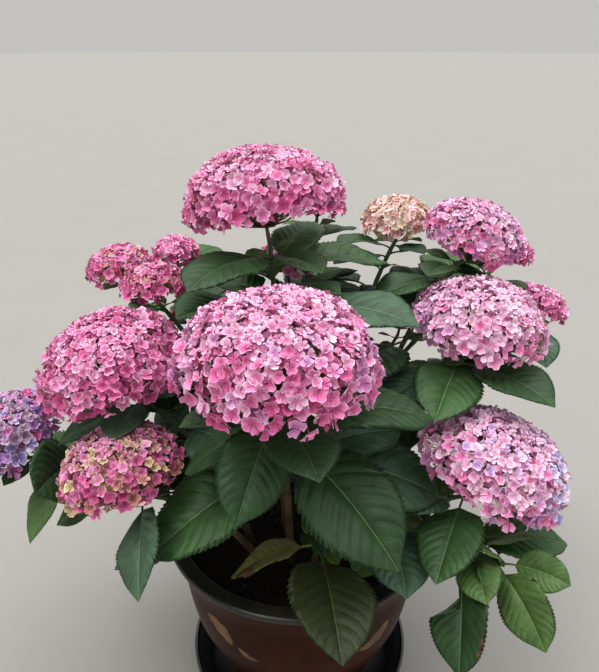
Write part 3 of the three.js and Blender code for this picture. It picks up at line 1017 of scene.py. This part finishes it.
def head_places(name, draw, share=1, shell=FLORET_SHELL, depth=FLORET_DEPTH):
    """Florets over a head's dome: middle, outward normal and place on the unit sphere."""
    radius = HEADS[name][3]
    lean = np.array(Vector(UP).rotation_difference(Vector(head_axis(name))).to_matrix())
    levels = np.linspace(1, LOWEST_FLORET, HEAD_LEVELS)
    squash = np.where(levels > 0, DOME_RISE, DOME_DROP)
    area = np.sqrt(levels ** 2 + squash ** 2 * (1 - levels ** 2))
    weight = np.cumsum(area / floret_radius(levels, radius) ** 2)
    step = levels[0] - levels[1]
    count = round(share * FLORET_COVER * 2 * radius ** 2 * step * weight[-1])
    heights = np.interp((np.arange(count) + 0.5) / count * weight[-1], weight, levels)
    lump = uneven(LUMP_WAVES, LUMP_SPREAD * LUMPS, draw)
    tassel = uneven(2 * LUMP_WAVES, TASSELS, draw)
    bend = 2 * math.sin(math.radians(FLORET_TILT))
    for k, height in enumerate(heights):
        flat = math.sqrt(1 - height ** 2)
        jitter = 2 * FLORET_JITTER * (draw() - 0.5) / max(flat * radius, FLORET_JITTER)
        turn = k * GOLDEN_TURN + jitter
        sphere = np.array([flat * math.cos(turn), flat * math.sin(turn), height])
        scale = np.array([1, 1, DOME_RISE if height > 0 else DOME_DROP])
        out = shell * (1 + min(0, lump(sphere) - 0.5 * LUMPS)) - depth * draw() ** 3
        middle = head_middle(name) + lean @ (sphere * scale * radius * out)
        low = np.clip(-2.4 * height, 0, 1)
        ragged = max(0, 0.3 * draw() + tassel(sphere))
        hang = RIM_HANG * radius / USUAL_HEAD_RADIUS * low * ragged
        normal = unit(unit(lean @ (sphere / scale)) + bend * stray(draw))
        yield middle - UP * hang, normal, sphere


def bloom_colours(name, sphere, draw, painted_shade=0):
    """Material numbers of a floret's base, middle and edge."""
    rows = BLOOMS.get(name, PLAIN_BLOOM)
    left = draw() * sum(row[0] for row in rows)
    for share, ramp, tone in rows:
        left -= share
        if left <= 0:
            break
    # Painted shade: florets on a head's grazing flanks take the bluer flank tones
    side, reach, other, other_tone = SHADED_FLANKS.get(name, [0, 2, ramp, tone])
    far = sphere[0] * side if side else abs(sphere[0])
    if far > reach + SHADED_FLANK_BLUR * (draw() - 0.5) and draw() < SHADED_FLANK_SHARE:
        ramp, tone = other, other_tone
    tone += round(TONE_SPREAD * (draw() - 0.5))
    # Painted light and shade: paler tones high on the head, deeper ones low on it
    climb = PAINTED_LIGHT_CLIMB * (sphere[2] - PAINTED_LIGHT_LEVEL)
    tone += math.floor(climb + (draw() + draw()) / 2)
    # Florets of the inner layer step tones deeper here, as painted shade inside the head
    tone = min(max(tone - painted_shade, 0), len(PETAL_TONES[ramp]) - 3)
    # Edge tone: partly the petals' own paler colour, partly painted highlight
    pale = min(tone + 2 + (draw() < PALE_EDGE_HIGHLIGHT_SHARE), len(PETAL_TONES[ramp]) - 1)
    return np.array([PETAL_NUMBERS.index((ramp, each)) for each in (tone, tone + 1, pale)])


def flower_head(name, petals, stalks, shapes, inner_shapes, bead, draw):
    radius = HEADS[name][3]
    axis = head_axis(name)
    middle = head_middle(name)
    places = list(head_places(name, draw))
    bead_points, bead_quads = bead
    for at, normal, sphere in places:
        points, quads, zones = pick(shapes, draw)
        size = floret_radius(sphere[2], radius) * (1 + FLORET_VARIETY * (2 * draw() - 1))
        turned = turned_to(normal, TURN * draw())
        colours = bloom_colours(name, sphere, draw)
        petals.add(at + (points * size) @ turned.T, quads, colours[zones])
        petals.add(at + (bead_points * BEAD_RADIUS) @ turned.T, bead_quads, colours[0])
    # An inner layer of florets, each painted a tone deeper as painted shade inside the head
    for at, normal, sphere in head_places(name, draw, INNER_SHARE, *INNER_LAYER):
        points, quads, zones = pick(inner_shapes, draw)
        size = floret_radius(sphere[2], radius) * INNER_SIZE
        turned = turned_to(normal, TURN * draw())
        colours = bloom_colours(name, sphere, draw, painted_shade=1)
        petals.add(at + (points * size) @ turned.T, quads, colours[zones])

    hub = middle - axis * radius * HUB_DEPTH
    foot = shoot_end(name)
    stalks.add(*tube([foot - axis * 2, (foot + hub) / 2, hub], STALK_RADII, 8), 0)
    joints = []
    for at, _, _ in places[::BRANCH_EVERY]:
        joint = hub + (at - hub) * BRANCH_REACH
        joints.append(joint)
        mid = (hub + joint) / 2 - axis * radius * BRANCH_SAG
        stalks.add(*tube([hub, mid, joint], BRANCH_RADII, 4), 0)
    joints = np.array(joints)
    for at, normal, _ in places:
        near = joints[np.argmin(np.linalg.norm(joints - at, axis=1))]
        stalks.add(*tube([near, at - normal * 0.5], PEDICEL_RADII, 3, ends=False), 1)


# Stems

def cane_mesh(pile, cane, draw):
    curve = shoot_curve(cane, 0)
    t = np.linspace(0, SPLIT, CANE_STEPS)
    line = curve.point(t)
    line[0, 2] = SOIL_TOP - 3
    radii = np.linspace(CANE_FOOT_RADIUS, CANE_TOP_RADIUS, len(t))
    phase = [TURN * draw() for _ in range(4)]

    def bark(index, angles):
        ridge = np.sin(5 * angles + phase[0] + 0.05 * index) * np.sin(0.5 * index + phase[1])
        flake = np.sin(9 * angles + phase[2]) * np.sin(1.3 * index + 2 * angles + phase[3])
        return 0.96 + BARK_RIDGE * ridge + BARK_FLAKE * flake

    pile.add(*tube(line, radii, CANE_SIDES, relief=bark), 0)


def shoot_mesh(pile, curve, start):
    t = np.linspace(start, 1, SHOOT_STEPS)
    line = curve.point(t)
    radius = SHOOT_RADIUS if start else SHOOT_RADIUS - FORK_THINNER
    radii = np.linspace(radius, SHOOT_TIP_RADIUS, len(t))
    length = np.linalg.norm(np.diff(line, axis=0), axis=1).sum()
    down = (1 - (t - start) / (1 - start)) * length
    first = PAIR_FIRST + KNOT_SHIFT
    knots = sum(np.exp(-((down - first - PAIR_STEP * k) / KNOT_LENGTH) ** 2) for k in range(4))
    points, faces = tube(line, radii * (1 + KNOT_SWELL * knots), SHOOT_SIDES)
    woody = (np.arange(len(faces)) // SHOOT_SIDES < WOODY_STEPS) & (start > 0)
    pile.add(points, faces, np.where(woody, 2, 0))


# Pot, saucer and soil

def smooth_line(points, steps):
    """Points along a smooth line through the given ones."""
    points = np.asarray(points, float)
    padded = np.concatenate([[2 * points[0] - points[1]], points, [2 * points[-1] - points[-2]]])
    made = []
    for i in range(1, len(padded) - 2):
        a, b, c, d = padded[i - 1:i + 3]
        for t in np.arange(steps) / steps:
            made.append(
                0.5 * (2 * b + (c - a) * t + (2 * a - 5 * b + 4 * c - d) * t ** 2
                       + (3 * b - a - 3 * c + d) * t ** 3)
            )
    made.append(points[-1])
    return np.array(made)


def arc(middle, radius, start, end, steps=6):
    angles = np.radians(np.linspace(start, end, steps))
    return [[middle[0] + radius * math.cos(a), middle[1] + radius * math.sin(a)] for a in angles]


def pot_outside():
    body = [[r, z + GAP] for r, z in POT_BODY]
    return smooth_line([*body, [POT_RIM_RADIUS - 4, POT_RIM_HEIGHT - 14]], 8)


def make_pot():
    body = pot_outside()
    rim = [
        *arc([POT_RIM_RADIUS - 6, POT_RIM_HEIGHT - 6], 6, -40, 90),
        *arc([POT_RIM_RADIUS - POT_RIM_WIDTH + 4, POT_RIM_HEIGHT - 4], 4, 90, 180),
    ]
    inside = smooth_line([[r - POT_WALL, z + GAP] for r, z in POT_BODY[:0:-1]], 4)
    floor = [[POT_BODY[0][0] - POT_WALL, POT_FLOOR], [0, POT_FLOOR]]
    foot = [[0, 8], [108, 8], [112, 3 + GAP], [127, 3 + GAP]]
    outline = np.array([*foot, *body, *rim, *inside, *floor])
    heights = (outline[1:, 1] + outline[:-1, 1]) / 2
    slots = np.where(heights > POT_RIM_HEIGHT - POT_RIM_BAND, 1, 0)
    slots[len(foot) + len(body) + len(rim):] = 2
    slots[:len(foot) - 1] = 2
    pile = Pile()
    pile.add(*turned_shape(outline, ROUND_SIDES, POT_WOBBLE), np.repeat(slots, ROUND_SIDES))
    # Red-brown glaze with its base colour darkened, painted shade of the plant over the pot
    glaze = mottled(
        "glaze_red_brown_shaded", ((40, 16, 6), (62, 27, 11)), 7, 0.36,
        0.1, 60, (1, 1, 2.5), shine=0.05,
    )
    rim_glaze = mottled("glaze_rim", ((20, 21, 16), (36, 35, 26)), 16, 0.36, 0.15, 90)
    clay = mottled("bare_clay", ((88, 52, 38), (110, 66, 46)), 40, 0.85, 0.4)
    pile.make("pot_body", [glaze, rim_glaze, clay], "pot", ["pot"])


# Brush strokes on the pot: azimuth, height, length, slant in degrees, width, bend
STROKES = [
    [231, 243, 66, -42, 30, 7],
    [246, 214, 40, -28, 14, -5],
    [307, 230, 66, 36, 28, -7],
    [296, 214, 40, 12, 14, 5],
    [20, 236, 66, 40, 24, 7],
    [40, 214, 44, -18, 14, -5],
    [95, 240, 70, -40, 24, 7],
    [118, 214, 46, 20, 14, 5],
    [160, 238, 66, 38, 24, -7],
    [182, 214, 44, -28, 14, 5],
]


def make_strokes():
    outside = pot_outside()
    pile = Pile()
    s, v = np.meshgrid(np.linspace(0, 1, 25), np.linspace(-1, 1, 7), indexing="ij")
    for azimuth, height, length, slant, width, bend in STROKES:
        ragged = 1 + 0.12 * np.sin(17 * s + azimuth) * np.abs(v)
        across = v * width / 2 * np.sin(math.pi * s) ** 0.6 * ragged
        ahead = (s - 0.5) * length
        sideways = across + bend * np.sin(math.pi * s)
        lean = math.radians(slant)
        up = height + ahead * math.sin(lean) + sideways * math.cos(lean)
        round_way = ahead * math.cos(lean) - sideways * math.sin(lean)
        radius = np.interp(up, outside[:, 1], outside[:, 0])
        angle = math.radians(azimuth) + round_way / radius
        thick = 0.5 * (1 - v ** 2) + 0.1
        r = (radius + thick) * out_of_round(angle, POT_WOBBLE)
        pile.add(round_points(r, angle, up), grid_quads(*s.shape)[:, ::-1], 0)
    ochre = mottled("glaze_ochre", ((74, 45, 18), (120, 78, 32)), 40, 0.42, 0.15, 200)
    pile.make("pot_strokes", [ochre], "pot", ["pot"])


def make_saucer():
    top = SAUCER_HEIGHT
    outline = [
        [0, 2], [150, 2], [158, 0], [SAUCER_FOOT - 2, 0],
        *arc([SAUCER_FOOT - 2, 4], 4, -90, -20),
        [SAUCER_RADIUS - 8, top - 9],
        *arc([SAUCER_RADIUS - 1.5, top - 7], 1.5, -90, 0),
        *arc([SAUCER_RADIUS - 2, top - 2], 2, 0, 90),
        *arc([SAUCER_RADIUS - 4, top - 1.5], 1.5, 90, 180),
        [SAUCER_RADIUS - 7, top - 5],
        [SAUCER_RADIUS - 12, top - 6],
        [SAUCER_FOOT + 6, 8],
        [SAUCER_FOOT - 1, 3], [140, 3], [137, 3.2], [60, 3.2], [57, 3], [0, 3],
    ]
    pile = Pile()
    pile.add(*turned_shape(outline, ROUND_SIDES), 0)
    black = mottled("saucer_black", ((18, 19, 22), (24, 25, 28)), 30, 0.28, 0.08, 400)
    pile.make("saucer_shell", [black], "saucer", ["saucer"])


def make_soil():
    """Crumbly potting mix with bark chips, up to the pot's wall."""
    draw = seeded(SEEDS["soil"])
    brim = np.interp(SOIL_TOP, *np.array(POT_BODY)[:, ::-1].T) - POT_WALL - GAP
    radii = [*np.linspace(0, brim, SOIL_RINGS), brim]
    bumps = [(draw() * 0.16 + 0.03, TURN * draw(), TURN * draw()) for _ in range(SOIL_WAVES)]
    r, a = np.meshgrid(radii, spokes(SOIL_SPOKES), indexing="ij")
    x, y = r * np.cos(a), r * np.sin(a)
    crumbs = sum(
        np.sin(f * (x * math.cos(d) + y * math.sin(d)) + p) * 0.35 for f, d, p in bumps
    )
    z = SOIL_TOP - CRUMB_DROP + CRUMB_HEIGHT * np.clip(crumbs, -2.4, 2.4)
    z[-1] = SOIL_TOP - SOIL_SKIRT
    pile = Pile()
    pile.add(round_points(r, a, z), grid_quads(*r.shape, closed=True), 0)
    for _ in range(BARK_CHIPS):
        away = brim * 0.96 * math.sqrt(draw())
        turn = TURN * draw()
        size = CHIP_SIZE[0] + CHIP_SIZE[1] * draw() ** 2
        at = np.array([away * math.cos(turn), away * math.sin(turn), SOIL_TOP - 1.5])
        lie = TURN * draw()
        long = np.array([math.cos(lie), math.sin(lie), 0.3 * (draw() - 0.5)])
        points, faces = tube([at - long * size, at, at + long * size], [size * 0.3] * 3, 5)
        points[:, 2] = at[2] + (points[:, 2] - at[2]) * 0.6
        pile.add(points, faces, 1 + (draw() < 0.3))
    mix = mottled("potting_mix", ((20, 16, 12), (36, 28, 21)), 90, 0.95, 0.8, 500)
    chip = mottled("bark_chip", ((36, 26, 19), (56, 40, 28)), 200, 0.9, 0.5)
    pale = mottled("bark_chip_pale", ((56, 44, 32), (76, 60, 44)), 200, 0.9, 0.5)
    pile.make("soil_top", [mix, chip, pale], "soil", ["soil"])


# The plant

def make_canes():
    draw = seeded(SEEDS["canes"])
    pile = Pile()
    for cane in CANES:
        cane_mesh(pile, cane, draw)
    bark = mottled("cane_bark", ((74, 58, 40), (112, 92, 66)), 60, 0.85, 0.7, 260, (1, 1, 0.3))
    pile.make("canes", [bark], "canes", [f"cane_{cane}" for cane in CANES])


def make_foliage():
    draw = seeded(SEEDS["foliage"])
    green = mottled("shoot_green", ((56, 80, 42), (74, 102, 54)), 50, 0.5, 0.2)
    fresh = mottled("shoot_fresh", ((86, 116, 56), (104, 136, 68)), 50, 0.5, 0.2)
    woody = mottled("shoot_woody", ((70, 60, 38), (96, 84, 54)), 60, 0.7, 0.4, 260, (1, 1, 0.3))
    stems = Pile()
    canes = list(CANES)
    groups = {"foliage_left": canes[:4], "foliage_middle": canes[4:9], "foliage_back": canes[9:]}
    piles = {name: Pile() for name in groups}
    home = {cane: piles[name] for name, members in groups.items() for cane in members}
    for _, _, curve, start in shoots():
        shoot_mesh(stems, curve, start)
    for cane, name, number, leaf in all_leaves():
        style = leaf_style(name, number, draw)
        leaf_mesh(home[cane], stems, leaf, style, draw, damage=DAMAGE.get((name, number)))
    for cane, leaf in bud_leaves(draw):
        leaf_mesh(home[cane], stems, leaf, "young" if draw() < 0.5 else "mid", draw, BUD_BLADE)
    materials = leaf_materials()
    for name, members in groups.items():
        piles[name].make(name, materials, "leaves", [f"leaves_{cane}" for cane in members])
    stems.make("shoots", [green, fresh, woody], "leaves", [f"leaves_{cane}" for cane in canes])


def make_heads():
    draw = seeded(SEEDS["heads"])
    shapes = floret_shapes(*OUTER_PETAL, draw)
    inner_shapes = floret_shapes(*INNER_PETAL, draw)
    bead = turned_shape(BEAD_RINGS, BEAD_SIDES)
    materials = petal_materials()
    stalks = Pile()
    groups = {
        "florets_front": ["centre", "left", "left_low"],
        "florets_middle": ["far_left", "top", "right_up", "peach", "right_back"],
        "florets_right": ["right", "right_side", "right_low"],
    }
    used = [name for members in groups.values() for name in members]
    groups["florets_back"] = [name for name in HEADS if name not in used]
    for piece, members in groups.items():
        petals = Pile()
        for name in members:
            flower_head(name, petals, stalks, shapes, inner_shapes, bead, draw)
        petals.make(piece, materials, "petals", [f"head_{name}" for name in members])
    dull = mottled("stalk_dull", ((96, 76, 54), (124, 104, 70)), 60, 0.6, 0.1)
    pink = mottled("stalk_pink", ((158, 102, 104), (184, 132, 128)), 60, 0.6, 0.1)
    stalks.make("flower_stalks", [dull, pink], "petals", [f"head_{name}" for name in HEADS])


# Stage

def make_floor():
    bpy.ops.mesh.primitive_circle_add(vertices=96, radius=FLOOR_RADIUS, fill_type="NGON")
    floor = bpy.context.object
    floor.name = "floor"
    stone = mottled("floor_pale", ((150, 147, 142), (152, 149, 144)), 3, 0.8, 0.02)
    floor.data.materials.append(stone)
    floor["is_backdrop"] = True


def sun(name, at, angle, strength, colour):
    """Soft daylight toward the plant from a place, as wide as a patch of sky."""
    light = bpy.data.lights.new(name, "SUN")
    light.angle = math.radians(angle)
    light.energy = strength
    light.color = colour
    linked(name, light).rotation_euler = Vector(at).to_track_quat("Z", "Y").to_euler()


def make_lights():
    sun("sky", (0.25, 0.5, 2.6), 75, 3.0, (0.96, 0.98, 1.0))
    sun("key", (-1.1, -0.6, 2.4), 30, 1.2, (1.0, 0.98, 0.95))
    world = bpy.data.worlds.new("studio")
    bpy.context.scene.world = world
    world.use_nodes = True
    sky = {"Color": (1.0, 0.99, 0.97, 1), "Strength": 0.55}
    set_inputs(world.node_tree.nodes["Background"], sky)


def make_camera():
    data = bpy.data.cameras.new("camera")
    data.sensor_width = SENSOR
    data.lens = FOCAL_PIXELS / max(PHOTO_WIDTH, PHOTO_HEIGHT) * SENSOR
    camera = linked("camera", data)
    camera.location = (0, -CAMERA_DISTANCE, CAMERA_HEIGHT)
    camera.rotation_euler = (math.radians(90 - CAMERA_PITCH), 0, 0)
    bpy.context.scene.camera = camera


make_camera()
make_saucer()
make_pot()
make_strokes()
make_soil()
make_canes()
make_foliage()
make_heads()
make_floor()
make_lights()
bpy.context.scene.view_settings.view_transform = "Standard"

boxes = {"cad": cad_box, "visual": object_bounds()}
{name: [list(corner) for corner in box] for name, box in boxes.items()}
